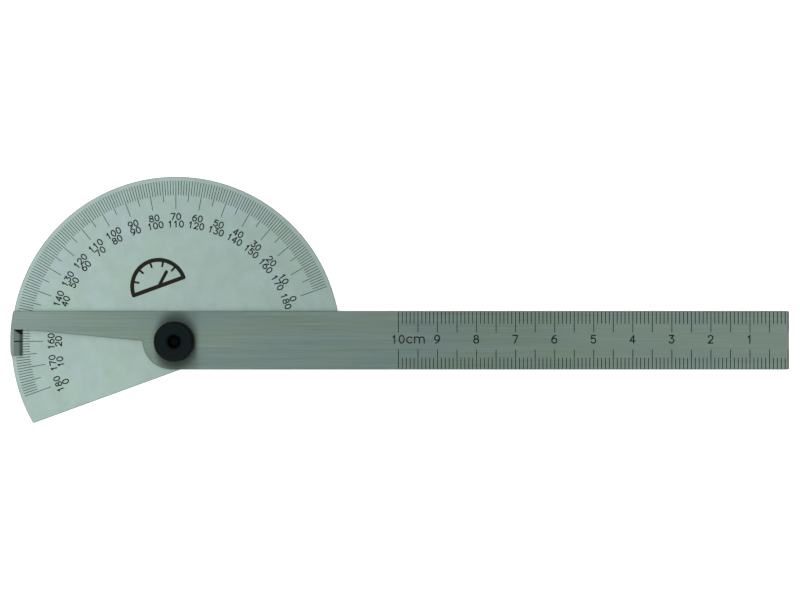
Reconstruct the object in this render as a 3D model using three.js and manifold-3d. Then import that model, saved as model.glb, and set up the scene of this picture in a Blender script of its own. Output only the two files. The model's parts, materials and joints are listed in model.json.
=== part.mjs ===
// An adjustable protractor: a graduated head plate, a graduated arm that turns over it on a
// threaded stud, and the washers and knurled nut that clamp the two together.
//
// Millimetres, +Z up. The stud's axis is the Z axis and the head plate's rear face is z = 0.
// The arm runs along +X. The head plate is turned under it, so that the index on the arm's
// tail stands at 160 degrees of the dial.

import * as THREE from "three";
import { mergeVertices } from "three/addons/utils/BufferGeometryUtils.js";
import Module from "manifold-3d";

const wasm = await Module();
wasm.setup();

// Sheet steel, the same for the head plate and the arm.
const SHEET = 1.2;
const EDGE_BREAK = 0.12; // chamfer along every sheet edge
const PLAY = 0.02; // air between pieces that lie flat on each other

// Head plate: a disc cut off by a straight base edge beyond the pivot.
const HEAD_RADIUS = 42.2;
const BASE_OFFSET = 7.2; // pivot to base edge
const HEAD_TURN = 20; // degrees from the arm to the dial's zero line
const HEAD_CORNER = 0.4;
const RIM_STEPS = 200;

// Arm: a straight blade, a round lobe about the pivot, a tapered tail and an index leg.
const ARM_WIDTH = 15;
const ARM_END_X = 157.1; // the blade's square end, where its scale starts
const ARM_CORNER = 0.4;
const LOBE_X = -0.9; // the lobe's centre lies just behind the pivot
const LOBE_STEPS = 30;
const TAIL_RADIUS = HEAD_RADIUS + 0.1; // the tail's end follows the dial's rim
const TAIL_STEPS = 16;
const TAIL_ROOT_Y = 0.2; // the tail's lower edge, where it leaves the lobe
const TAIL_TIP_Y = 3.07; // and where it meets the index leg
const LEG_INSIDE_X = -39.3;
const LEG_FOOT_Y = -3.7;
const BEVEL_TOP_X = -41.4; // the leg slopes down from here to a thin inner edge
const BEVEL_EDGE = 0.25; // thickness left at that edge
const INDEX_WIDTH = 0.34; // of the index groove, at the face of the bevel
const INDEX_DEPTH = 0.14;

// Stud: a countersunk head flush in the plate's rear, a plain journal and a threaded end.
const JOURNAL_RADIUS = 2;
const JOURNAL_FIT = 0.05; // running clearance in the arm
const STUD_HEAD_RADIUS = 3.1;
const STUD_HEAD_FIT = 0.03; // hairline between the plate and the staked stud
const STUD_DOME = 0.45; // height of the rounded end
const DOME_TURNS = [0, 30, 60]; // degrees up the rounded end, where it has points
const STUD_STEPS = 36;

// Thread, M4 in steel, simplified to flat crests and roots.
const PITCH = 0.7;
const THREAD_CREST = 1.95;
const THREAD_ROOT = 1.6;
const THREAD_FIT = 0.06; // the nut's thread is this much larger in radius
const THREAD_FORM = [ // corners of one ridge, as shares of the pitch
  { at: 0, crest: false },
  { at: 0.3, crest: true },
  { at: 0.45, crest: true },
  { at: 0.75, crest: false },
];

// Washers: a wave spring under a plain washer.
const WAVE_SHEET = 0.25;
const WAVE_LIFT = 0.08; // rise and fall of the waves while the nut is tight
const WAVES = 3;
const WAVE_OUTSIDE = 4.2;
const WASHER_SHEET = 0.5;
const WASHER_OUTSIDE = 4.5;
const WASHER_INSIDE = 2.15;
const WASHER_EDGE = 0.08;
const WASHER_STEPS = 72;

// Clamp nut.
const NUT_RADIUS = 5.2;
const NUT_HEIGHT = 4;
const NUT_TOP_CHAMFER = 0.7;
const NUT_FOOT_CHAMFER = 0.3;
const KNURL_TEETH = 60;
const KNURL_DEPTH = 0.2;
const THREAD_MOUTH = 0.2; // countersink at both ends of the nut's thread
const STUD_RECESS = 2; // from the nut's top down to the stud's end

// Heights of the stack.
const ARM_LOW = SHEET + PLAY;
const ARM_HIGH = ARM_LOW + SHEET;
const WAVE_LOW = ARM_HIGH + PLAY;
const WAVE_HIGH = WAVE_LOW + WAVE_SHEET + 2 * WAVE_LIFT;
const WASHER_LOW = WAVE_HIGH + PLAY;
const WASHER_HIGH = WASHER_LOW + WASHER_SHEET;
const NUT_LOW = WASHER_HIGH + PLAY;
const NUT_HIGH = NUT_LOW + NUT_HEIGHT;
const STUD_HIGH = NUT_HIGH - STUD_RECESS;

const ARM_LOWER_Y = -BASE_OFFSET; // this edge closes flush with the base edge
const ARM_UPPER_Y = ARM_LOWER_Y + ARM_WIDTH;
const OVERCUT = 1; // how far a cutting tool runs past the faces that it cuts

const radians = THREE.MathUtils.degToRad;
const degrees = THREE.MathUtils.radToDeg;
const at = (x, y) => new THREE.Vector2(x, y);

// ---- shared geometry -------------------------------------------------------------------

// Points along a circular arc that turns anticlockwise between two angles in degrees.
function arc(x, y, radius, from, to, steps) {
  return new THREE.EllipseCurve(x, y, radius, radius, radians(from), radians(to)).getPoints(steps);
}

// The corner b of the outline a-b-c, rounded.
function rounded(a, b, c, radius, steps = 4) {
  const toA = a.clone().sub(b).normalize();
  const toC = c.clone().sub(b).normalize();
  const setback = radius / Math.tan(Math.acos(toA.dot(toC)) / 2);
  const start = b.clone().addScaledVector(toA, setback);
  const end = b.clone().addScaledVector(toC, setback);
  return new THREE.QuadraticBezierCurve(start, b, end).getPoints(steps);
}

// A sheet of the given outline with broken edges, lying on z = 0.
function sheetMetal(outline) {
  const geometry = new THREE.ExtrudeGeometry(new THREE.Shape(outline), {
    depth: SHEET - 2 * EDGE_BREAK,
    bevelEnabled: true,
    bevelSegments: 1,
    bevelThickness: EDGE_BREAK,
    bevelSize: EDGE_BREAK,
    bevelOffset: -EDGE_BREAK,
  });
  return geometry.translate(0, 0, EDGE_BREAK);
}

// A straight bar of the given section, which is drawn across it and extruded by its length.
function prism(section, length) {
  return new THREE.ExtrudeGeometry(new THREE.Shape(section), { depth: length, bevelEnabled: false });
}

// A solid turned about Z from [radius, height] rows. place(row, column, spot) may move each
// point of the turned surface, to raise a thread, a knurl or a wave.
function turned(profile, steps, place = () => {}) {
  const geometry = new THREE.LatheGeometry(profile.map(([r, z]) => at(r, z)), steps);
  const position = geometry.attributes.position;
  for (let column = 0; column <= steps; column += 1) {
    const angle = (2 * Math.PI * (column % steps)) / steps;
    profile.forEach(([r, z], row) => {
      const spot = { r, z };
      place(row, column, spot);
      const index = column * profile.length + row;
      position.setXYZ(index, spot.r * Math.cos(angle), spot.r * Math.sin(angle), spot.z);
    });
  }
  return geometry;
}

// A closed ring section with its corners broken.
function ringSection(inside, outside, low, high, edge) {
  const section = [
    [inside, low], [outside - edge, low], [outside, low + edge],
    [outside, high - edge], [outside - edge, high], [inside, high],
  ];
  return [...section, section[0]];
}

// A round bar whose middle carries a right-hand thread. before ends, and after starts, at
// the thread's root. A row of the thread climbs one pitch in a turn, and where it would pass
// either end of the thread it folds flat on to the bar.
function threadedBar(before, after, root, crest) {
  const low = before.at(-1)[1];
  const high = after[0][1];
  const levels = [];
  for (let turn = Math.floor(low / PITCH) - 1; turn * PITCH < high; turn += 1) {
    THREAD_FORM.forEach((corner) => levels.push({ level: turn + corner.at, crest: corner.crest }));
  }
  const profile = [...before, ...levels.map(() => [root, low]), ...after];
  return turned(profile, STUD_STEPS, (row, column, spot) => {
    const corner = levels[row - before.length];
    if (!corner) return;
    const z = PITCH * (corner.level + column / STUD_STEPS);
    spot.z = THREE.MathUtils.clamp(z, low, high);
    spot.r = corner.crest && z === spot.z ? crest : root;
  });
}

// ---- solids for cutting ----------------------------------------------------------------

function toSolid(geometry) {
  const bare = geometry.clone().deleteAttribute("normal").deleteAttribute("uv");
  const merged = mergeVertices(bare, 1e-4);
  const corners = merged.index.array;
  const kept = [];
  for (let i = 0; i < corners.length; i += 3) {
    const [a, b, c] = corners.slice(i, i + 3);
    if (a !== b && b !== c && c !== a) kept.push(a, b, c);
  }
  return new wasm.Manifold(new wasm.Mesh({
    numProp: 3,
    vertProperties: new Float32Array(merged.attributes.position.array),
    triVerts: new Uint32Array(kept),
  }));
}

function toGeometry(solid) {
  const mesh = solid.getMesh();
  const geometry = new THREE.BufferGeometry();
  geometry.setAttribute("position", new THREE.BufferAttribute(mesh.vertProperties, 3));
  geometry.setIndex(new THREE.BufferAttribute(mesh.triVerts, 1));
  geometry.computeVertexNormals();
  return geometry;
}

function cut(geometry, ...tools) {
  const solid = tools.reduce((rest, tool) => rest.subtract(toSolid(tool)), toSolid(geometry));
  return toGeometry(solid);
}

// ---- head plate ------------------------------------------------------------------------

// The plate's own X axis is the dial's zero line, parallel to the base edge.
function headPlateGeometry() {
  const dip = degrees(Math.asin(BASE_OFFSET / HEAD_RADIUS));
  const rim = arc(0, 0, HEAD_RADIUS, -dip, 180 + dip, RIM_STEPS);
  const right = rim[0];
  const left = rim.at(-1);
  const outline = [
    ...rounded(left, right, rim[1], HEAD_CORNER),
    ...rim.slice(2, -2),
    ...rounded(rim.at(-2), left, right, HEAD_CORNER),
  ];
  const fitted = STUD_HEAD_RADIUS + STUD_HEAD_FIT;
  const journal = JOURNAL_RADIUS + STUD_HEAD_FIT;
  const countersink = turned([
    [0, -OVERCUT],
    [fitted + OVERCUT, -OVERCUT],
    [journal, STUD_HEAD_RADIUS - JOURNAL_RADIUS],
    [journal, SHEET + OVERCUT],
    [0, SHEET + OVERCUT],
  ], STUD_STEPS);
  return cut(sheetMetal(outline), countersink);
}

// ---- arm -------------------------------------------------------------------------------

function armOutline() {
  const lobeY = ARM_LOWER_Y + ARM_WIDTH / 2;
  const lobeRadius = ARM_WIDTH / 2;
  const lobeStart = 180 + degrees(Math.asin((lobeY - TAIL_ROOT_Y) / lobeRadius));
  const tailTop = 180 - degrees(Math.asin(ARM_UPPER_Y / TAIL_RADIUS));
  const tailFoot = 180 - degrees(Math.asin(LEG_FOOT_Y / TAIL_RADIUS));
  const endLow = at(ARM_END_X, ARM_LOWER_Y);
  const endHigh = at(ARM_END_X, ARM_UPPER_Y);
  const tail = arc(0, 0, TAIL_RADIUS, tailTop, tailFoot, TAIL_STEPS);
  const foot = at(LEG_INSIDE_X, LEG_FOOT_Y);
  return [
    ...rounded(at(0, ARM_LOWER_Y), endLow, endHigh, ARM_CORNER),
    ...rounded(endLow, endHigh, tail[0], ARM_CORNER),
    ...rounded(endHigh, tail[0], tail[1], ARM_CORNER),
    ...tail.slice(1, -1),
    ...rounded(tail.at(-2), tail.at(-1), foot, ARM_CORNER),
    foot,
    at(LEG_INSIDE_X, TAIL_TIP_Y),
    ...arc(LOBE_X, lobeY, lobeRadius, lobeStart, 270, LOBE_STEPS),
  ];
}

// The cutters are drawn on the sheet before it is lifted on to the plate.
function legBevel() {
  const slope = (SHEET - BEVEL_EDGE) / (LEG_INSIDE_X - BEVEL_TOP_X);
  const section = [
    at(BEVEL_TOP_X - OVERCUT, SHEET + slope * OVERCUT),
    at(LEG_INSIDE_X + OVERCUT, BEVEL_EDGE - slope * OVERCUT),
    at(LEG_INSIDE_X + OVERCUT, SHEET + OVERCUT),
  ];
  const length = TAIL_TIP_Y - LEG_FOOT_Y + OVERCUT;
  return prism(section, length).rotateX(Math.PI / 2).translate(0, TAIL_TIP_Y, 0);
}

// A V groove down the bevel on the pivot's centre line. The cutter stands out of the face by
// the groove's depth, so that it is INDEX_WIDTH wide where it meets the face.
function indexGroove() {
  const down = new THREE.Vector3(LEG_INSIDE_X - BEVEL_TOP_X, 0, BEVEL_EDGE - SHEET);
  const length = down.length() + OVERCUT;
  down.normalize();
  const across = new THREE.Vector3(0, 1, 0);
  const out = new THREE.Vector3().crossVectors(down, across);
  const section = [at(-INDEX_WIDTH, INDEX_DEPTH), at(0, -INDEX_DEPTH), at(INDEX_WIDTH, INDEX_DEPTH)];
  const place = new THREE.Matrix4().makeBasis(across, out, down).setPosition(BEVEL_TOP_X, 0, SHEET);
  return prism(section, length).applyMatrix4(place);
}

function armGeometry() {
  const hole = turned([
    [0, -OVERCUT],
    [JOURNAL_RADIUS + JOURNAL_FIT, -OVERCUT],
    [JOURNAL_RADIUS + JOURNAL_FIT, SHEET + OVERCUT],
    [0, SHEET + OVERCUT],
  ], STUD_STEPS);
  return cut(sheetMetal(armOutline()), hole, legBevel(), indexGroove());
}

// ---- stud, washers and nut ---------------------------------------------------------------

function studGeometry() {
  const domeFoot = STUD_HIGH - STUD_DOME;
  const before = [
    [0, 0],
    [STUD_HEAD_RADIUS, 0],
    [JOURNAL_RADIUS, STUD_HEAD_RADIUS - JOURNAL_RADIUS],
    [JOURNAL_RADIUS, ARM_HIGH],
    [THREAD_ROOT, ARM_HIGH + JOURNAL_RADIUS - THREAD_ROOT],
  ];
  const dome = DOME_TURNS.map((turn) => [
    THREAD_ROOT * Math.cos(radians(turn)),
    domeFoot + STUD_DOME * Math.sin(radians(turn)),
  ]);
  return threadedBar(before, [...dome, [0, STUD_HIGH]], THREAD_ROOT, THREAD_CREST);
}

function waveWasherGeometry() {
  const low = WAVE_LOW + WAVE_LIFT;
  const section = ringSection(WASHER_INSIDE, WAVE_OUTSIDE, low, low + WAVE_SHEET, WASHER_EDGE);
  return turned(section, WASHER_STEPS, (row, column, spot) => {
    spot.z += WAVE_LIFT * Math.cos((2 * Math.PI * WAVES * column) / WASHER_STEPS);
  });
}

function plainWasherGeometry() {
  const section = ringSection(WASHER_INSIDE, WASHER_OUTSIDE, WASHER_LOW, WASHER_HIGH, WASHER_EDGE);
  return turned(section, WASHER_STEPS);
}

// The knurl is straight: every second column of points is a root, and a root meets the two
// chamfers nearer to the faces than a crest does.
function nutBlank() {
  const profile = [
    [0, NUT_LOW],
    [NUT_RADIUS - NUT_FOOT_CHAMFER, NUT_LOW],
    [NUT_RADIUS, NUT_LOW + NUT_FOOT_CHAMFER],
    [NUT_RADIUS, NUT_HIGH - NUT_TOP_CHAMFER],
    [NUT_RADIUS - NUT_TOP_CHAMFER, NUT_HIGH],
    [0, NUT_HIGH],
  ];
  const footRow = 2;
  const topRow = 3;
  return turned(profile, 2 * KNURL_TEETH, (row, column, spot) => {
    if (column % 2 === 0 || (row !== footRow && row !== topRow)) return;
    spot.r -= KNURL_DEPTH;
    spot.z += row === topRow ? KNURL_DEPTH : -KNURL_DEPTH;
  });
}

// The thread's hollow runs right through the nut and opens in a countersink at each face.
function nutThread() {
  const low = NUT_LOW - OVERCUT;
  const high = NUT_HIGH + OVERCUT;
  const root = THREAD_ROOT + THREAD_FIT;
  return threadedBar([[0, low], [root, low]], [[root, high], [0, high]], root, THREAD_CREST + THREAD_FIT);
}

// A cone that opens from the thread's root to a face of the nut; out is 1 up or -1 down.
function threadMouth(face, out) {
  const root = THREAD_ROOT + THREAD_FIT;
  const tip = [0, face - out * (THREAD_MOUTH + root)];
  const wide = root + THREAD_MOUTH + OVERCUT;
  const cone = [tip, [wide, face + out * OVERCUT], [0, face + out * OVERCUT]];
  return turned(out > 0 ? cone : cone.reverse(), STUD_STEPS);
}

function nutGeometry() {
  return cut(nutBlank(), nutThread(), threadMouth(NUT_LOW, -1), threadMouth(NUT_HIGH, 1));
}

// ---- assembly ----------------------------------------------------------------------------

const satinSteel = { color: 0x9fb3ad, roughness: 0.45, metalness: 0.85 };
const brushedSteel = { color: 0x7d8f86, roughness: 0.35, metalness: 0.9 };
const springSteel = { color: 0x1e2021, roughness: 0.4, metalness: 0.9 };
const blackOxide = { color: 0x161d1e, roughness: 0.45, metalness: 0.6 };

function piece(name, geometry, finish) {
  const mesh = new THREE.Mesh(geometry, new THREE.MeshStandardMaterial(finish));
  mesh.name = name;
  return mesh;
}

const protractor = new THREE.Group();

const headPlate = piece("head_plate", headPlateGeometry(), satinSteel);
headPlate.rotation.z = radians(HEAD_TURN);

const arm = piece("arm", armGeometry(), brushedSteel);
arm.position.z = ARM_LOW;

const clamp = new THREE.Group();
clamp.add(
  piece("wave_washer", waveWasherGeometry(), springSteel),
  piece("plain_washer", plainWasherGeometry(), springSteel),
  piece("clamp_nut", nutGeometry(), blackOxide),
);

protractor.add(headPlate, piece("pivot_stud", studGeometry(), blackOxide), arm, clamp);

export default protractor;
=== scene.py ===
"""The looks of an adjustable protractor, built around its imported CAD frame.

Everything is in metres, in the frame of the CAD model: the stud's axis is the Z axis, the head
plate's rear face is z = 0 and the arm runs along +X at rest. Sizes on the object are written in
millimetres and multiplied by MM.
"""

import json
import math

import bpy
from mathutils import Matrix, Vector


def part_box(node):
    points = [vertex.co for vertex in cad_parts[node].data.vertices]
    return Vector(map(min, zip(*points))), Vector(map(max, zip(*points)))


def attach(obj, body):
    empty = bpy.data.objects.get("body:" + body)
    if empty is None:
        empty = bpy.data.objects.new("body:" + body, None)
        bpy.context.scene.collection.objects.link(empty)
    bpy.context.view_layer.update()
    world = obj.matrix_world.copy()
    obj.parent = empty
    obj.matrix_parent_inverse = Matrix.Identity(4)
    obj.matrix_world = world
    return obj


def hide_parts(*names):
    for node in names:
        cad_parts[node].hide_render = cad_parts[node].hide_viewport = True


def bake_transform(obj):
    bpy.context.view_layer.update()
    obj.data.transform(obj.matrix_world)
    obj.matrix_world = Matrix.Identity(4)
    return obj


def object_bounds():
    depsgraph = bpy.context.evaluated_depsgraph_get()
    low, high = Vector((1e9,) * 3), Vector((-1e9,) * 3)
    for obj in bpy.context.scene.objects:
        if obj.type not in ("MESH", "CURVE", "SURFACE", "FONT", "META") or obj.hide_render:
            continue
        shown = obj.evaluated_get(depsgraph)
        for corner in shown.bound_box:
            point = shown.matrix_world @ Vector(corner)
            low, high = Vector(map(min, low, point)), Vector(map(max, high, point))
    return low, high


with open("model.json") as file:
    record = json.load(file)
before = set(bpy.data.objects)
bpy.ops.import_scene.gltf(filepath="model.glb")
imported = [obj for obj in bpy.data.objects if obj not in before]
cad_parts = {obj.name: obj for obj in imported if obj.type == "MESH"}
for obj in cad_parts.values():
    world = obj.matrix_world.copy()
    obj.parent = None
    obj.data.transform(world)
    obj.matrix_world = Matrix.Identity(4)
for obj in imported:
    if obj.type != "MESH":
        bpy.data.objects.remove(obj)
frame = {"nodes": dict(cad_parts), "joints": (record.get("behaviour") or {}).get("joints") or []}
CAD_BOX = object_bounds()

MM = 0.001
NODES = frame["nodes"]
JOINTS = {joint["name"]: joint for joint in frame["joints"]}

# What the frame says.
PLATE_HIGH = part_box("head_plate")[1]
ARM_LOW, ARM_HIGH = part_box("arm")
NUT_LOW, NUT_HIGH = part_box("clamp_nut")
PIVOT = Vector(JOINTS["arm_turn"]["pos_m"])
DIAL_ZERO = JOINTS["arm_turn"]["range_deg"][1]  # direction of the dial's zero line, in degrees
RIM_RADIUS = PLATE_HIGH.y - PIVOT.y
ARM_MIDDLE_Y = (ARM_LOW.y + ARM_HIGH.y) / 2

# Ink of the scales: it reaches into the sheet and stands 8 to 16 microns proud of it. Strokes that
# cross differ by a step in height, so that no two of their faces lie in one plane.
INK_ABOVE = 0.008 * MM
INK_BELOW = 0.012 * MM
INK_STEP = 0.001 * MM
INK_STEPS = 9

# The dial's two scales share their marks. Numerals stand every ten degrees.
DIAL_SPAN = 180
DIAL_MARK_OUT = RIM_RADIUS - 1.0 * MM
DIAL_MARK_IN = {1: RIM_RADIUS - 4.7 * MM, 5: RIM_RADIUS - 6.4 * MM, 10: RIM_RADIUS - 8.2 * MM}
DIAL_MARK_WIDTH = 0.16 * MM
DIAL_ROWS = (32.0 * MM, 30.1 * MM)  # radii of the middles of the outer and the inner numerals
DIAL_NUMERAL = {"height": 1.56 * MM, "cell": 1.0 * MM, "pitch": 1.44 * MM, "width": 0.3 * MM}

# The arm's scale starts at its square end.
SCALE_LENGTH = 100  # millimetres
ARM_MARK_WIDTH = 0.2 * MM
ARM_MARKS_UPPER = (3.3 * MM, 5.5 * MM)  # short marks, and long ones at every fifth millimetre
ARM_MARKS_LOWER = (3.0 * MM, 5.1 * MM)
ARM_NUMERAL = {"height": 1.95 * MM, "cell": 1.25 * MM, "pitch": 1.85 * MM, "width": 0.33 * MM}
ARM_UNIT = {**ARM_NUMERAL, "cell": 1.55 * MM, "pitch": 2.0 * MM}  # the letters after the last one
ARM_NUMERALS_UP = 0.25 * MM  # their middle line lies above the arm's own
ARM_NUMERALS_BACK = 0.1 * MM
ARM_EDGE = 0.12 * MM  # broken edge, which carries no marks


# ---- engraved lettering ------------------------------------------------------------------


def bend(x, y, radius_x, radius_y, start, end, steps=14):
    """Points on an elliptical arc, from one angle to another in degrees."""
    turns = [math.radians(start + (end - start) * i / steps) for i in range(steps + 1)]
    return [(x + radius_x * math.cos(t), y + radius_y * math.sin(t)) for t in turns]


# Each glyph is a list of strokes in a cell one unit wide and one unit high.
SIX = [bend(0.88, 0.32, 0.88, 0.68, 97, 180, 10), bend(0.5, 0.32, 0.5, 0.32, 180, 540, 24)]
GLYPHS = {
    "0": [bend(0.5, 0.5, 0.5, 0.5, 90, 450, 28)],
    "1": [[(0.55, 0.0), (0.55, 1.0), (0.22, 0.74)]],
    "2": [bend(0.5, 0.69, 0.47, 0.31, 165, -35) + [(0.02, 0.0), (1.0, 0.0)]],
    "3": [[(0.06, 1.0), (0.94, 1.0), (0.45, 0.62)] + bend(0.48, 0.31, 0.5, 0.31, 88, -150)],
    "4": [[(0.76, 0.0), (0.76, 1.0), (0.0, 0.27), (1.0, 0.27)]],
    "5": [[(0.9, 1.0), (0.16, 1.0), (0.08, 0.54)] + bend(0.48, 0.33, 0.5, 0.33, 128, -150)],
    "6": SIX,
    "7": [[(0.0, 1.0), (1.0, 1.0), (0.36, 0.0)]],
    "8": [bend(0.5, 0.765, 0.41, 0.235, -90, 270, 22), bend(0.5, 0.265, 0.5, 0.265, 90, 450, 24)],
    "9": [[(1 - x, 1 - y) for x, y in stroke] for stroke in SIX],
    "c": [bend(0.52, 0.4, 0.52, 0.4, 48, 312)],
    "m": [
        [(0.0, 0.0), (0.0, 0.8)],
        [(0.0, 0.5)] + bend(0.4, 0.5, 0.4, 0.3, 180, 0) + [(0.8, 0.0)],
        [(0.8, 0.5)] + bend(1.2, 0.5, 0.4, 0.3, 180, 0) + [(1.6, 0.0)],
    ],
}
SAME_POINT = 0.000001 * MM  # a stroke whose ends are nearer than this is closed
SHARP = math.cos(math.radians(50))  # a stroke that turns more than this starts afresh
CAP_TURNS = (80, 55, 28)  # degrees round a stroke's end, from its tip


class Ink:
    """Gathers flat strokes on a level face and makes one thin piece of ink from them."""

    def __init__(self, level):
        self.level = level
        self.strips = 0
        self.points = []
        self.faces = []

    def strip(self, sections):
        """A closed solid along pairs of points, left and right; the first pair closes on the last
        where they are the same."""
        looped = (sections[0][0] - sections[-1][0]).length < SAME_POINT
        if looped:
            sections = sections[:-1]
        first = len(self.points)
        step = INK_STEP * (self.strips % INK_STEPS)
        self.strips += 1
        low, high = self.level - INK_BELOW - step, self.level + INK_ABOVE + step
        for left, right in sections:
            self.points += [(*left, high), (*right, high), (*right, low), (*left, low)]
        count = len(sections)
        for i in range(count if looped else count - 1):
            here, there = first + 4 * i, first + 4 * ((i + 1) % count)
            for a, b in ((0, 1), (1, 2), (2, 3), (3, 0)):
                self.faces.append((here + a, here + b, there + b, there + a))
        if not looped:
            last = first + 4 * (count - 1)
            self.faces.append((first + 3, first + 2, first + 1, first))
            self.faces.append((last, last + 1, last + 2, last + 3))

    def line(self, start, end, width):
        """A straight mark with square ends."""
        start, end = Vector(start), Vector(end)
        side = (end - start).orthogonal().normalized() * width / 2
        self.strip([(point + side, point - side) for point in (start, end)])

    def curve(self, points, width):
        """A smooth stroke, closed where it ends at its start, and round-ended elsewhere."""
        points = [Vector(point) for point in points]
        steps = [(b - a).normalized() for a, b in zip(points, points[1:])]
        closed = (points[0] - points[-1]).length < SAME_POINT
        before = [steps[-1] if closed else steps[0]] + steps
        after = steps + [steps[0] if closed else steps[-1]]
        sections = []
        for point, a, b in zip(points, before, after):
            along = (a + b).normalized()
            reach = width / 2 / max(0.5, along.dot(a))
            side = along.orthogonal() * reach
            sections.append((point + side, point - side))
        if not closed:
            head = [cap(points[0], -steps[0], width, turn) for turn in CAP_TURNS]
            tail = [cap(points[-1], steps[-1], width, turn) for turn in reversed(CAP_TURNS)]
            sections = [(right, left) for left, right in head] + sections + tail
        self.strip(sections)

    def stroke(self, points, width):
        """A stroke cut by a round cutter: it is lifted and set down again at a sharp corner."""
        points = [Vector(point) for point in points]
        run = points[:2]
        for point in points[2:]:
            if (run[-1] - run[-2]).normalized().dot((point - run[-1]).normalized()) < SHARP:
                self.curve(run, width)
                run = run[-1:]
            run.append(point)
        self.curve(run, width)

    def text(self, string, centre, up, height, cell, pitch, width):
        """Upright glyphs on a line, centred on a point; up is the direction of their tops."""
        up = Vector(up).normalized()
        right = Vector((up.y, -up.x))
        start = Vector(centre) - right * (pitch * (len(string) - 1) + cell) / 2 - up * height / 2
        for place, letter in enumerate(string):
            corner = start + right * pitch * place
            for stroke in GLYPHS[letter]:
                self.stroke([corner + right * x * cell + up * y * height for x, y in stroke], width)

    def piece(self, name, body, material):
        return make_piece(name, self.points, self.faces, body, material)


def cap(end, outward, width, turn):
    """One section of a round end, from left to right as seen along the way out of it."""
    angle = math.radians(turn)
    middle = end + outward * math.sin(angle) * width / 2
    side = outward.orthogonal() * math.cos(angle) * width / 2
    return middle + side, middle - side


def make_mesh(name, points, faces, material):
    mesh = bpy.data.meshes.new(name)
    mesh.from_pydata(points, [], faces)
    mesh.validate()
    mesh.materials.append(material)
    piece = bpy.data.objects.new(name, mesh)
    bpy.context.scene.collection.objects.link(piece)
    return piece


def make_piece(name, points, faces, body, material):
    """A mesh piece that rides on a CAD body."""
    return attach(make_mesh(name, points, faces, material), body)


def turned_faces(rows, columns):
    """The faces of a closed section of that many points, repeated round the axis."""
    faces = []
    for column in range(columns):
        here, there = column * rows, (column + 1) % columns * rows
        for row in range(rows):
            above = (row + 1) % rows
            faces.append((here + row, there + row, there + above, here + above))
    return faces


def towards(degrees, radius):
    """The point at that direction and distance from the pivot, seen from above."""
    angle = math.radians(degrees)
    return Vector((PIVOT.x + radius * math.cos(angle), PIVOT.y + radius * math.sin(angle)))


# ---- materials ---------------------------------------------------------------------------


class Graph:
    """A material's node tree round one Principled shader. Its methods return output sockets."""

    def __init__(self, name):
        self.material = bpy.data.materials.new(name)
        self.material.use_nodes = True
        self.tree = self.material.node_tree
        self.tree.nodes.clear()
        self.shader = self.node("ShaderNodeBsdfPrincipled")
        output = self.node("ShaderNodeOutputMaterial")
        self.tree.links.new(self.shader.outputs["BSDF"], output.inputs["Surface"])

    def node(self, kind, inputs=None, **settings):
        """A new node, with its settings, and its inputs set to numbers or joined to sockets."""
        node = self.tree.nodes.new(kind)
        for name, value in settings.items():
            setattr(node, name, value)
        for name, value in (inputs or {}).items():
            self.join(node.inputs[name], value)
        return node

    def join(self, socket, value):
        if isinstance(value, bpy.types.NodeSocket):
            self.tree.links.new(value, socket)
        else:
            socket.default_value = value

    def place(self, stretch=(1, 1, 1)):
        """Position on the object at rest, in millimetres, times a stretch for each axis."""
        spot = self.node("ShaderNodeTexCoord").outputs["Object"]
        scale = tuple(share / MM for share in stretch)
        return self.node("ShaderNodeVectorMath", {0: spot, 1: scale}, operation="MULTIPLY").outputs[0]

    def axes(self, vector):
        return self.node("ShaderNodeSeparateXYZ", {0: vector}).outputs

    def noise(self, place, detail=2.0, roughness=0.5):
        inputs = {"Vector": place, "Scale": 1.0, "Detail": detail, "Roughness": roughness}
        return self.node("ShaderNodeTexNoise", inputs).outputs[0]

    def math(self, operation, a, b=0.0):
        return self.node("ShaderNodeMath", {0: a, 1: b}, operation=operation).outputs[0]

    def spread(self, value, low, high, to_low=0.0, to_high=1.0, smooth=False):
        """The value's stretch from low to high, mapped on to another and clamped there."""
        kind = "SMOOTHSTEP" if smooth else "LINEAR"
        inputs = {"Value": value, "From Min": low, "From Max": high, "To Min": to_low, "To Max": to_high}
        return self.node("ShaderNodeMapRange", inputs, interpolation_type=kind).outputs[0]

    def mix(self, share, a, b):
        """Colour a, and b by its share. Sockets 0, 6 and 7 are the factor and the two colours."""
        return self.node("ShaderNodeMix", {0: share, 6: a, 7: b}, data_type="RGBA").outputs[2]

    def bump(self, height, distance, strength):
        inputs = {"Height": height, "Distance": distance, "Strength": strength}
        return self.node("ShaderNodeBump", inputs).outputs[0]

    def face(self):
        """The face's normal on the object at rest, as its three parts."""
        return self.axes(self.node("ShaderNodeTexCoord").outputs["Normal"])

    def chamfer(self):
        """1 on the broken edges of a sheet, which slope, and 0 on its faces and walls."""
        rise = self.math("ABSOLUTE", self.face()["Z"])
        inner = self.spread(rise, 0.3, 0.5)
        outer = self.spread(rise, 0.85, 0.97, 1.0, 0.0)
        return self.math("MULTIPLY", inner, outer)

    def set(self, **sockets):
        """Joins the shader's sockets; an underscore stands for a space."""
        for name, value in sockets.items():
            self.join(self.shader.inputs[name.replace("_", " ")], value)
        return self.material


def rgb(red, green, blue):
    """A colour given as it shows on a screen, from 0 to 255, as the shader's linear values."""
    def linear(value):
        share = value / 255
        return share / 12.92 if share <= 0.04045 else ((share + 0.055) / 1.055) ** 2.4
    return linear(red), linear(green), linear(blue), 1.0


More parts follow.
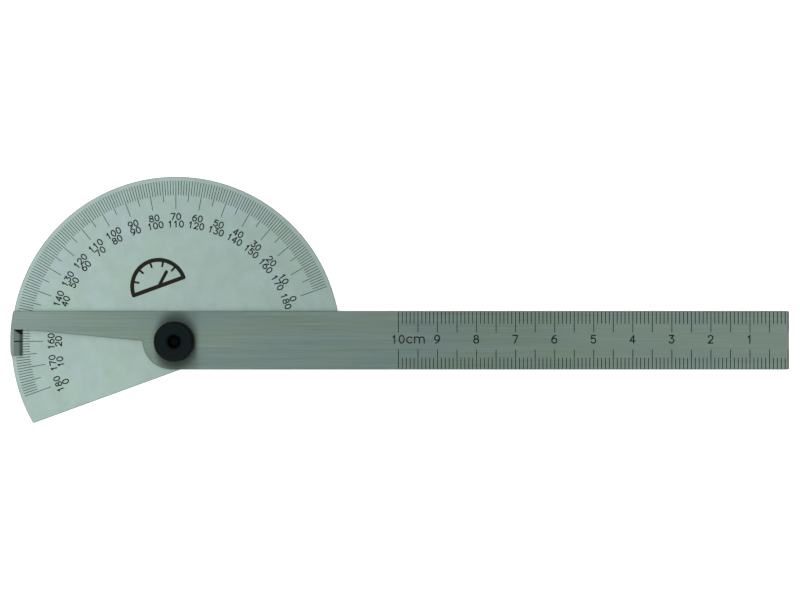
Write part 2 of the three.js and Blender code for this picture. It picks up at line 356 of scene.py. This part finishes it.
# Where the finishes and the painted light and shade change, in millimetres from the pivot: the change is
# from the first place to the second, along X unless it says otherwise.
# Painted shade: the dial darker towards its right.
DIAL_PAINTED_SHADE = (-20.0, 40.0)
# Painted light: the blade paler towards its end.
BLADE_PAINTED_LIGHT = (85.0, 120.0)
# Painted light: the tail paler towards its end, fading out towards the pivot.
TAIL_PAINTED_LIGHT = (-42.0, -4.0)
# Painted shade and reflection of the nut on the arm, fading away from the pivot all round the nut.
NUT_SHADE_FADES = (5.4, 9.0)  # away from the pivot, all round the nut
NUT_SHADE_SQUEEZE = 1.35  # the smear is this much narrower along the arm than across it
# The bevel darker along its thin edge, and painted shadow in its corner under the tail.
THIN_EDGE_DARK = (-40.35, -39.75)  # along the bevel's thin edge
CORNER_SHADOW = (2.35, 3.1)  # across the arm, in the bevel's corner
CORNER_SHADOW_SLOPE = (-41.3, -39.5)  # over which the corner's painted shadow comes further down, by the drop on the next line
CORNER_SHADOW_DROP = 1.4
# The nut darker towards the outer rim of its top and round the mouth of its hole.
DARK_RIM = (4.4, 4.7)  # away from the nut's axis
DARK_MOUTH = (1.9, 2.2)  # the same
RUBBED_CRESTS = (5.12, 5.2)  # the same


def dial_steel():
    """Blasted satin steel: fine pits and cloudy patches, broken edges painted darker as painted shade and a
    little smoother, and painted shade darker towards the right.
    """
    g = Graph("dial_steel")
    clouds = g.noise(g.place((0.09, 0.09, 0.09)), 3.0)
    patches = g.noise(g.place((0.35, 0.35, 0.35)), 2.0)
    grain = g.noise(g.place((9, 9, 9)), 3.0, 0.6)
    pits = g.noise(g.place((26, 26, 26)), 1.0)
    tint = g.mix(g.spread(clouds, 0.35, 0.65), rgb(179, 204, 192), rgb(182, 202, 205))
    mottled = g.mix(g.spread(patches, 0.3, 0.7), tint, rgb(172, 195, 186))
    speckled = g.mix(g.spread(grain, 0.35, 0.75, 0.0, 0.35), mottled, rgb(138, 157, 152))
    along = g.axes(g.place())["X"]
    # Painted shade: darker towards the dial's right.
    dulled = g.mix(g.spread(along, *DIAL_PAINTED_SHADE, 0.0, 0.26), speckled, rgb(104, 118, 112))
    # Painted shade: the broken edges painted darker.
    edges_shaded = g.mix(g.math("MULTIPLY", g.chamfer(), 0.9), dulled, rgb(60, 72, 66))
    polish = g.math("MULTIPLY", g.chamfer(), 0.06)
    roughness = g.math("SUBTRACT", g.spread(grain, 0.3, 0.7, 0.38, 0.5), polish)
    height = g.math("ADD", grain, g.math("MULTIPLY", pits, 0.5))
    g.shader.inputs["Metallic"].default_value = 1.0
    return g.set(Base_Color=edges_shaded, Roughness=roughness, Normal=g.bump(height, 0.004 * MM, 0.5))


def arm_steel():
    """Steel brushed along the arm, with painted light towards both ends, painted shade and reflection of
    the nut round it, painted shade on its broken edges, and brighter on the index leg's bevel.
    """
    g = Graph("arm_steel")
    hair = g.noise(g.place((0.12, 11, 11)), 3.0, 0.6)
    streaks = g.noise(g.place((0.035, 2.2, 2.2)), 3.0, 0.55)
    bands = g.noise(g.place((0.012, 0.5, 0.5)), 2.0)
    clouds = g.noise(g.place((0.05, 0.16, 0.16)), 2.0)
    tint = g.mix(g.spread(clouds, 0.35, 0.65), rgb(161, 183, 165), rgb(156, 180, 179))
    banded = g.mix(g.spread(bands, 0.3, 0.7, 0.0, 0.5), tint, rgb(136, 159, 148))
    streaked = g.mix(g.spread(streaks, 0.35, 0.7, 0.0, 0.5), banded, rgb(126, 149, 135))
    combed = g.mix(g.spread(hair, 0.4, 0.75, 0.0, 0.4), streaked, rgb(185, 205, 196))
    spot = g.axes(g.place())
    along = g.math("MULTIPLY", spot["X"], NUT_SHADE_SQUEEZE)
    reach = g.math("SQRT", g.math("ADD", g.math("POWER", along, 2.0), g.math("POWER", spot["Y"], 2.0)))
    # Painted light: the blade paler towards its end, and the tail paler towards its end.
    pale = g.mix(g.spread(spot["X"], *BLADE_PAINTED_LIGHT, 0.0, 0.25, smooth=True), combed, rgb(185, 205, 196))
    tail = g.mix(g.spread(spot["X"], *TAIL_PAINTED_LIGHT, 0.36, 0.0), pale, rgb(185, 205, 196))
    # Painted shade and reflection of the nut, round the nut.
    nut_shade_painted = g.mix(g.spread(reach, *NUT_SHADE_FADES, 0.6, 0.0, smooth=True), tail, rgb(36, 46, 38))
    # Painted shade: the broken edges painted darker.
    edges_shaded = g.mix(g.math("MULTIPLY", g.chamfer(), 0.7), nut_shade_painted, rgb(78, 92, 84))

    # The bevel faces +X and slopes. It is painted darker along its thin edge, and painted shadow fills the
    # corner under the tail, where the tail's end wall would shade it.
    slope = g.spread(g.face()["X"], 0.3, 0.36)
    level = g.math("MULTIPLY", slope, g.spread(g.face()["Z"], 0.8, 0.88))
    edge = g.spread(spot["X"], *THIN_EDGE_DARK, 0.5, 0.82, smooth=True)
    rise = g.math("ADD", spot["Y"], g.spread(spot["X"], *CORNER_SHADOW_SLOPE, 0.0, CORNER_SHADOW_DROP))
    # Painted shadow in the bevel's corner under the tail.
    corner = g.spread(rise, *CORNER_SHADOW, 0.0, 0.98, smooth=True)
    edge_dark_and_corner_shadow = g.math("MULTIPLY", level, g.math("MAXIMUM", edge, corner))
    ground = g.mix(g.math("MULTIPLY", level, 0.9), edges_shaded, rgb(174, 198, 190))
    colour = g.mix(edge_dark_and_corner_shadow, ground, rgb(20, 27, 24))

    roughness = g.spread(g.math("ADD", hair, streaks), 0.7, 1.3, 0.52, 0.62)
    height = g.math("ADD", hair, g.math("MULTIPLY", streaks, 0.6))
    across = g.node("ShaderNodeVectorTransform", {0: (0.0, 1.0, 0.0)}, vector_type="VECTOR",
                    convert_from="OBJECT", convert_to="WORLD").outputs[0]
    g.shader.inputs["Metallic"].default_value = 1.0
    g.shader.inputs["Anisotropic"].default_value = 1.0
    return g.set(Base_Color=colour, Roughness=roughness, Tangent=across,
                 Normal=g.bump(height, 0.0012 * MM, 0.6))


def spring_steel():
    """Rolled strip, blackened like the nut, with paler streaks where the rolls rubbed it."""
    g = Graph("spring_steel")
    grain = g.noise(g.place((0.8, 7, 7)), 3.0)
    clouds = g.noise(g.place((0.5, 0.5, 0.5)), 2.0)
    tint = g.mix(clouds, rgb(24, 26, 27), rgb(32, 33, 33))
    streaked = g.mix(g.spread(grain, 0.5, 0.8, 0.0, 0.5), tint, rgb(66, 70, 71))
    roughness = g.spread(grain, 0.3, 0.7, 0.36, 0.5)
    g.shader.inputs["Metallic"].default_value = 1.0
    return g.set(Base_Color=streaked, Roughness=roughness, Normal=g.bump(grain, 0.002 * MM, 0.4))


def black_oxide():
    """Turned steel, blackened: rings from the tool, dull patches and rubbed crests."""
    g = Graph("black_oxide")
    place = g.place()
    radius = g.math("SQRT", g.math("ADD", g.math("POWER", g.axes(place)["X"], 2.0),
                                   g.math("POWER", g.axes(place)["Y"], 2.0)))
    rings = g.node("ShaderNodeTexNoise", {"W": radius, "Scale": 7.0, "Detail": 3.0, "Roughness": 0.6},
                   noise_dimensions="1D").outputs[0]
    clouds = g.noise(g.place((0.7, 0.7, 0.7)), 3.0)
    grit = g.noise(g.place((14, 14, 14)), 2.0)
    tint = g.mix(g.spread(clouds, 0.35, 0.65), rgb(5, 10, 11), rgb(6, 9, 13))
    ringed = g.mix(g.spread(rings, 0.4, 0.65, 0.0, 0.9), tint, rgb(20, 34, 35))
    # Darker towards the outer rim of the top and round the mouth of the hole.
    rim_and_mouth_dark = g.math("MAXIMUM", g.spread(radius, *DARK_RIM, 0.0, 0.8, smooth=True),
                  g.spread(radius, *DARK_MOUTH, 0.7, 0.0, smooth=True))
    rim_and_mouth_darkened = g.mix(rim_and_mouth_dark, ringed, rgb(2, 4, 3))
    rubbed = g.spread(radius, *RUBBED_CRESTS, 0.0, 0.3, smooth=True)
    colour = g.mix(g.math("MULTIPLY", rubbed, g.spread(grit, 0.5, 0.7)), rim_and_mouth_darkened, rgb(70, 78, 78))
    roughness = g.spread(g.math("ADD", clouds, grit), 0.7, 1.3, 0.36, 0.52)
    height = g.math("ADD", rings, g.math("MULTIPLY", grit, 0.3))
    g.shader.inputs["Specular IOR Level"].default_value = 0.05
    return g.set(Base_Color=colour, Roughness=roughness, Normal=g.bump(height, 0.006 * MM, 0.6))


def scale_ink(name, light, dark):
    """Baked black filler, a little uneven in tone."""
    g = Graph(name)
    grain = g.noise(g.place((5, 5, 5)), 3.0)
    roughness = g.spread(grain, 0.3, 0.7, 0.5, 0.75)
    g.shader.inputs["Specular IOR Level"].default_value = 0.12
    colour = g.mix(g.spread(grain, 0.35, 0.65), dark, light)
    return g.set(Base_Color=colour, Roughness=roughness, Normal=g.bump(grain, 0.003 * MM, 0.4))


def floor_white():
    """Plain white translucent sheet, faintly lit from below, so that shadows on it are light."""
    g = Graph("floor_white")
    fibres = g.noise(g.place((0.4, 0.4, 0.4)), 3.0)
    colour = g.mix(fibres, rgb(243, 243, 243), rgb(246, 246, 246))
    g.shader.inputs["Specular IOR Level"].default_value = 0.1
    g.shader.inputs["Emission Color"].default_value = (1, 1, 1, 1)
    g.shader.inputs["Emission Strength"].default_value = 0.45
    return g.set(Base_Color=colour, Roughness=g.spread(fibres, 0.0, 1.0, 0.85, 0.95))


# ---- the CAD nodes -----------------------------------------------------------------------


CREASE = math.radians(23)  # faces that meet at more than this meet at a real edge
JOIN_WITHIN = 0.0001 * MM  # vertices nearer than this are one


def real_edges():
    """Nodes that shade a faceted solid smooth, except across its real edges."""
    tree = bpy.data.node_groups.new("real_edges", "GeometryNodeTree")
    tree.interface.new_socket("Geometry", in_out="INPUT", socket_type="NodeSocketGeometry")
    tree.interface.new_socket("Geometry", in_out="OUTPUT", socket_type="NodeSocketGeometry")
    nodes, links = tree.nodes, tree.links
    flow = nodes.new("NodeGroupInput").outputs[0]

    bare = nodes.new("GeometryNodeRemoveAttribute")
    bare.inputs["Name"].default_value = "custom_normal"
    joined = nodes.new("GeometryNodeMergeByDistance")
    joined.inputs["Distance"].default_value = JOIN_WITHIN
    smooth = nodes.new("GeometryNodeSetShadeSmooth")
    creased = nodes.new("GeometryNodeSetShadeSmooth")
    creased.domain = "EDGE"
    creased.inputs["Shade Smooth"].default_value = False
    for node in (bare, joined, smooth, creased):
        links.new(flow, node.inputs["Geometry"])
        flow = node.outputs["Geometry"]
    links.new(flow, nodes.new("NodeGroupOutput").inputs[0])

    angle = nodes.new("GeometryNodeInputMeshEdgeAngle")
    sharp = nodes.new("FunctionNodeCompare")
    sharp.data_type = "FLOAT"
    sharp.operation = "GREATER_THAN"
    sharp.inputs[1].default_value = CREASE
    links.new(angle.outputs["Unsigned Angle"], sharp.inputs[0])
    links.new(sharp.outputs[0], creased.inputs["Selection"])
    return tree


REAL_EDGES = real_edges()


def shade(piece):
    modifier = piece.modifiers.new("real_edges", "NODES")
    modifier.node_group = REAL_EDGES
    return piece


def finish_node(name, material):
    """Gives a carried-over CAD node its finish and its smooth shading."""
    node = shade(NODES[name])
    node.data.materials.clear()
    node.data.materials.append(material)


# ---- the clamp nut -----------------------------------------------------------------------

NUT_RADIUS = NUT_HIGH.x
KNURL_TEETH = 60
KNURL_DEPTH = 0.2 * MM
TOOTH_STEPS = 6  # columns to a tooth
TOP_CHAMFER = 0.7 * MM
FOOT_CHAMFER = 0.3 * MM
KNURL_FLANK = 0.42  # half the width of a groove, as a share of a tooth
CORNER = 0.06 * MM  # rounding where the chamfers meet the faces
FACE_CORNER = 0.3 * CORNER  # its far point on a chamfer, from a face's end
SIDE_CORNER = 0.4 * CORNER  # and from the side's end
THREAD_PITCH = 0.7 * MM
THREAD_INNER = 1.66 * MM
THREAD_OUTER = 2.01 * MM
THREAD_FORM = ((0.0, 0.0), (0.3, 1.0), (0.45, 1.0), (0.75, 0.0), (1.0, 0.0))  # share of pitch, depth
THREAD_MOUTH = 0.2 * MM
THREAD_ROWS = 64
FACING_RINGS = 8  # shallow rings that the facing tool left on the top
FACING_DEPTH = 0.012 * MM


def knurl(turn):
    """Depth below the crests, from 0 to 1, at that share of a full turn: V grooves between flats."""
    tooth = (turn * KNURL_TEETH) % 1.0
    return max(0.0, 1.0 - abs(tooth - 0.5) / KNURL_FLANK)


def thread_depth(turn, height):
    """Depth of the nut's thread, from 0 to 1; it climbs a pitch in a turn."""
    share = (height / THREAD_PITCH - turn) % 1.0
    for (start, low), (end, high) in zip(THREAD_FORM, THREAD_FORM[1:]):
        if share <= end:
            return low + (high - low) * (share - start) / (end - start)
    return 0.0


def nut_column(turn):
    """The nut's section at one share of a turn, as radius and height from its foot's bore round."""
    low, high = NUT_LOW.z, NUT_HIGH.z
    side = NUT_RADIUS - KNURL_DEPTH * knurl(turn)
    top_radius = NUT_RADIUS - TOP_CHAMFER
    foot_radius = NUT_RADIUS - FOOT_CHAMFER
    mouth = THREAD_INNER + THREAD_MOUTH
    foot_meets = low + (side - foot_radius)
    top_meets = high - (side - top_radius)
    section = [(0.5 * (mouth + foot_radius), low)]
    section += [(foot_radius - CORNER, low), (foot_radius + FACE_CORNER, low + FACE_CORNER)]
    section += [(side - SIDE_CORNER, foot_meets - SIDE_CORNER), (side, foot_meets + CORNER)]
    section += [(side, 0.5 * (foot_meets + top_meets))]
    section += [(side, top_meets - CORNER), (side - SIDE_CORNER, top_meets + SIDE_CORNER)]
    section += [(top_radius + FACE_CORNER, high - FACE_CORNER), (top_radius - CORNER, high)]
    rings = 2 * FACING_RINGS
    outer, inner = top_radius - CORNER, mouth + CORNER
    for ring in range(1, rings):
        radius = outer + (inner - outer) * ring / rings
        section.append((radius, high - FACING_DEPTH * (ring % 2)))
    section.append((inner, high))
    for row in range(THREAD_ROWS + 1):
        height = high - (high - low) * row / THREAD_ROWS
        thread = THREAD_INNER + (THREAD_OUTER - THREAD_INNER) * thread_depth(turn, height)
        flare = THREAD_INNER + THREAD_MOUTH - min(high - height, height - low)
        section.append((max(thread, flare), height))
    return section


def clamp_nut(material):
    """The knurled nut, with its rounded edges, facing rings and thread."""
    columns = KNURL_TEETH * TOOTH_STEPS
    points = []
    for column in range(columns):
        turn = column / columns
        angle = 2 * math.pi * turn
        for radius, height in nut_column(turn):
            points.append((radius * math.cos(angle), radius * math.sin(angle), height))
    faces = turned_faces(len(points) // columns, columns)
    piece = make_piece("clamp_nut_turned", points, faces, "nut", material)
    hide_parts("clamp_nut")
    return shade(piece)


# ---- the spring washer -------------------------------------------------------------------

WAVE_SHEET = 0.25 * MM
WAVE_INSIDE = 2.15 * MM
WAVE_EDGE = 0.08 * MM  # broken outer corners
WAVES = 3
WAVE_COLUMNS = 96


def wave_washer(material):
    """The spring under the plain washer: a ring of three waves, whose troughs lie down on the arm."""
    low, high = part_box("wave_washer")
    lift = (high.z - low.z - WAVE_SHEET) / 2
    outside = high.x
    section = [
        (WAVE_INSIDE, 0.0), (outside - WAVE_EDGE, 0.0), (outside, WAVE_EDGE),
        (outside, WAVE_SHEET - WAVE_EDGE), (outside - WAVE_EDGE, WAVE_SHEET), (WAVE_INSIDE, WAVE_SHEET),
    ]
    points = []
    for column in range(WAVE_COLUMNS):
        angle = 2 * math.pi * column / WAVE_COLUMNS
        level = low.z + lift * (1 + math.cos(WAVES * angle))
        points += [(radius * math.cos(angle), radius * math.sin(angle), level + z) for radius, z in section]
    piece = make_mesh("wave_spring", points, turned_faces(len(section), WAVE_COLUMNS), material)
    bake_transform(piece)
    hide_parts("wave_washer")
    return shade(piece)


# ---- the scales --------------------------------------------------------------------------


def dial_graduations(ink):
    marks = Ink(PLATE_HIGH.z)
    for degree in range(DIAL_SPAN + 1):
        step = next(size for size in (10, 5, 1) if degree % size == 0)
        direction = DIAL_ZERO + degree
        inner, outer = towards(direction, DIAL_MARK_IN[step]), towards(direction, DIAL_MARK_OUT)
        marks.line(inner, outer, DIAL_MARK_WIDTH)
    return marks.piece("dial_graduations", "head", ink)


def dial_numerals(ink):
    """Two rows: the outer one counts up from the zero line and the inner one counts down."""
    numerals = Ink(PLATE_HIGH.z)
    for degree in range(0, DIAL_SPAN + 1, 10):
        direction = DIAL_ZERO + degree
        for radius, value in zip(DIAL_ROWS, (degree, DIAL_SPAN - degree)):
            centre = towards(direction, radius)
            up = towards(direction, 1.0) - towards(direction, 0.0)
            numerals.text(str(value), centre, up, **DIAL_NUMERAL)
    return numerals.piece("dial_numerals", "head", ink)


EMBLEM_RADIUS = 6.8 * MM
EMBLEM_WIDTH = 1.05 * MM
EMBLEM_CENTRE = Vector((-4.4 * MM, 14.1 * MM))  # the middle of the sign's straight side
EMBLEM_MARK_IN = 0.74  # where its marks start, as a share of its radius
EMBLEM_POINTER = (42, 0.62)  # the pointer's direction in degrees, and its length as such a share


def dial_emblem(ink):
    """A plain sign: a small half-disc with a few marks and a pointer."""
    sign = Ink(PLATE_HIGH.z)
    along = towards(DIAL_ZERO, 1.0) - towards(DIAL_ZERO, 0.0)
    up = Vector((-along.y, along.x))

    def spot(degrees, reach):
        angle = math.radians(degrees)
        return EMBLEM_CENTRE + (along * math.cos(angle) + up * math.sin(angle)) * EMBLEM_RADIUS * reach

    arch = [spot(degrees, 1.0) for degrees in range(0, 181, 6)]
    sign.stroke(arch + [arch[0]], EMBLEM_WIDTH)
    for degrees in (30, 60, 90, 120, 150):
        sign.line(spot(degrees, EMBLEM_MARK_IN), spot(degrees, 1.0), 0.5 * EMBLEM_WIDTH)
    sign.stroke([spot(0, 0.0), spot(*EMBLEM_POINTER)], 0.8 * EMBLEM_WIDTH)
    return sign.piece("dial_emblem", "head", ink)


def arm_graduations(ink):
    marks = Ink(ARM_HIGH.z)
    lower, upper = ARM_LOW.y + ARM_EDGE, ARM_HIGH.y - ARM_EDGE
    for millimetre in range(SCALE_LENGTH + 1):
        x = ARM_HIGH.x - millimetre * MM
        if millimetre == 0:
            x -= ARM_EDGE + ARM_MARK_WIDTH / 2
        long = millimetre % 5 == 0
        marks.line((x, upper), (x, ARM_HIGH.y - ARM_MARKS_UPPER[long]), ARM_MARK_WIDTH)
        marks.line((x, lower), (x, ARM_LOW.y + ARM_MARKS_LOWER[long]), ARM_MARK_WIDTH)
    return marks.piece("arm_graduations", "arm", ink)


def arm_numerals(ink):
    """One row of centimetres, with the unit after the last."""
    numerals = Ink(ARM_HIGH.z)
    zero = Vector((ARM_HIGH.x - ARM_NUMERALS_BACK, ARM_MIDDLE_Y + ARM_NUMERALS_UP))
    for centimetre in range(1, SCALE_LENGTH // 10 + 1):
        centre = zero - Vector((10 * centimetre * MM, 0))
        numerals.text(str(centimetre), centre, (0, 1), **ARM_NUMERAL)
    unit = centre + Vector((2 * ARM_UNIT["pitch"], 0))
    numerals.text("cm", unit, (0, 1), **ARM_UNIT)
    return numerals.piece("arm_numerals", "arm", ink)


FILL_DEPTH = 0.138 * MM  # from the groove's bottom up to the bevel
FILL_HALF_WIDTH = 0.165 * MM
FILL_LIFT = 0.02 * MM  # off the groove's bottom
FILL_INSETS = (0.1 * MM, -0.02 * MM)  # from the groove's two ends, along it
INDEX_LEG = 5.0 * MM  # the leg lies within this of the arm's tail end
ON_AXIS = 0.001 * MM  # the groove's bottom is nearer than this to the plane y = 0 of the pivot


def index_line_fill(ink):
    """Black filler in the groove that runs down the index leg's bevel."""
    bottom = sorted(
        (vertex.co.copy() for vertex in NODES["arm"].data.vertices
         if abs(vertex.co.y - PIVOT.y) < ON_AXIS and vertex.co.x < ARM_LOW.x + INDEX_LEG),
        key=lambda point: point.x,
    )
    start, end = bottom[0], bottom[-1]
    down = (end - start).normalized()
    across = Vector((0, 1, 0))
    out = across.cross(down) * -1
    points = []
    for spot in (start + down * FILL_INSETS[0], end + down * FILL_INSETS[1]):
        top = spot + out * FILL_DEPTH
        points += [spot + out * FILL_LIFT, top - across * FILL_HALF_WIDTH, top + across * FILL_HALF_WIDTH]
    faces = [(0, 1, 2), (5, 4, 3), (0, 3, 4, 1), (1, 4, 5, 2), (2, 5, 3, 0)]
    return make_piece("index_line_fill", points, faces, "arm", ink)


# ---- the object --------------------------------------------------------------------------

BLACKENED = black_oxide()
finish_node("head_plate", dial_steel())
finish_node("arm", arm_steel())
finish_node("pivot_stud", BLACKENED)
strip_steel = spring_steel()
finish_node("plain_washer", strip_steel)
wave_washer(strip_steel)
clamp_nut(BLACKENED)

ink = scale_ink("scale_ink", rgb(24, 36, 32), rgb(14, 24, 20))
dial_graduations(scale_ink("dial_mark_ink", rgb(44, 58, 53), rgb(30, 42, 38)))
dial_numerals(ink)
arm_graduations(ink)
arm_numerals(ink)
index_line_fill(scale_ink("index_ink", rgb(14, 20, 17), rgb(8, 12, 10)))
dial_emblem(scale_ink("emblem_ink", rgb(30, 30, 20), rgb(22, 20, 14)))


# ---- floor, light and camera -------------------------------------------------------------


def floor():
    half, level = 4.0, -0.03 * MM
    corners = [(-half, -half, level), (half, -half, level), (half, half, level), (-half, half, level)]
    mesh = bpy.data.meshes.new("floor")
    mesh.from_pydata(corners, [], [(0, 1, 2, 3)])
    mesh.materials.append(floor_white())
    plane = bpy.data.objects.new("floor", mesh)
    bpy.context.scene.collection.objects.link(plane)


# The tent's brightness is the product of these. Each says which part of the direction it goes by,
# from where to where, and its share at the two.
TENT = (
    ("Z", 0.45, 0.985, 0.85, 0.55),  # dim overhead
    ("Z", 0.0, 0.6, 0.6, 1.0),  # dim at the horizon
    ("Y", -0.7, 0.3, 1.1, 1.0),  # a little more from the front
    ("X", -0.45, -0.03, 2.2, 1.0),  # a panel on the left
    ("X", -0.75, -0.45, 0.46, 1.0),  # and its outer end
    ("X", 0.02, 0.32, 1.0, 1.5),  # a fainter one on the right
    ("X", 0.78, 0.97, 1.0, 0.67),  # and its outer end
)


def sky():
    """A pale tent round the object: dim overhead and at the horizon, with a panel at each side."""
    world = bpy.data.worlds.new("tent")
    bpy.context.scene.world = world
    world.use_nodes = True
    nodes, links = world.node_tree.nodes, world.node_tree.links
    background = nodes["Background"]
    background.inputs["Color"].default_value = (1, 1, 1, 1)
    direction = nodes.new("ShaderNodeTexCoord").outputs["Generated"]
    parts = nodes.new("ShaderNodeSeparateXYZ")
    links.new(direction, parts.inputs[0])

    def spread(socket, low, high, to_low, to_high):
        node = nodes.new("ShaderNodeMapRange")
        node.interpolation_type = "SMOOTHSTEP"
        links.new(socket, node.inputs["Value"])
        for name, value in zip(("From Min", "From Max", "To Min", "To Max"), (low, high, to_low, to_high)):
            node.inputs[name].default_value = value
        return node.outputs[0]

    shares = [spread(parts.outputs[axis], *stretch) for axis, *stretch in TENT]
    strength = shares[0]
    for share in shares[1:]:
        product = nodes.new("ShaderNodeMath")
        product.operation = "MULTIPLY"
        links.new(strength, product.inputs[0])
        links.new(share, product.inputs[1])
        strength = product.outputs[0]
    links.new(strength, background.inputs["Strength"])


def softbox(name, position, aim, width, power):
    light = bpy.data.lights.new(name, "AREA")
    light.shape = "RECTANGLE"
    light.size = width
    light.size_y = width * 0.6
    light.energy = power
    lamp = bpy.data.objects.new(name, light)
    lamp.location = position
    lamp.rotation_mode = "QUATERNION"
    lamp.rotation_quaternion = (Vector(position) - Vector(aim)).to_track_quat("Z", "Y")
    bpy.context.scene.collection.objects.link(lamp)


def camera():
    """Straight above the arm's top face, a little right of the object's middle."""
    distance = 600 * MM
    field = 204.8 * MM  # width of the picture at the arm's top face
    data = bpy.data.cameras.new("camera")
    data.sensor_width = 36.0
    data.lens = data.sensor_width * distance / field
    data.clip_start, data.clip_end = 0.01, 20.0
    viewer = bpy.data.objects.new("camera", data)
    viewer.location = (57.5 * MM, 10.6 * MM, ARM_HIGH.z + distance)
    bpy.context.scene.collection.objects.link(viewer)
    bpy.context.scene.camera = viewer


floor()
sky()
middle = (CAD_BOX[0] + CAD_BOX[1]) / 2
softbox("key", (-0.5, 0.85, 0.62), middle, 1.3, 3.5)
softbox("fill", (0.9, -0.2, 0.7), middle, 1.0, 1.5)
camera()
bpy.context.scene.view_settings.view_transform = "Standard"
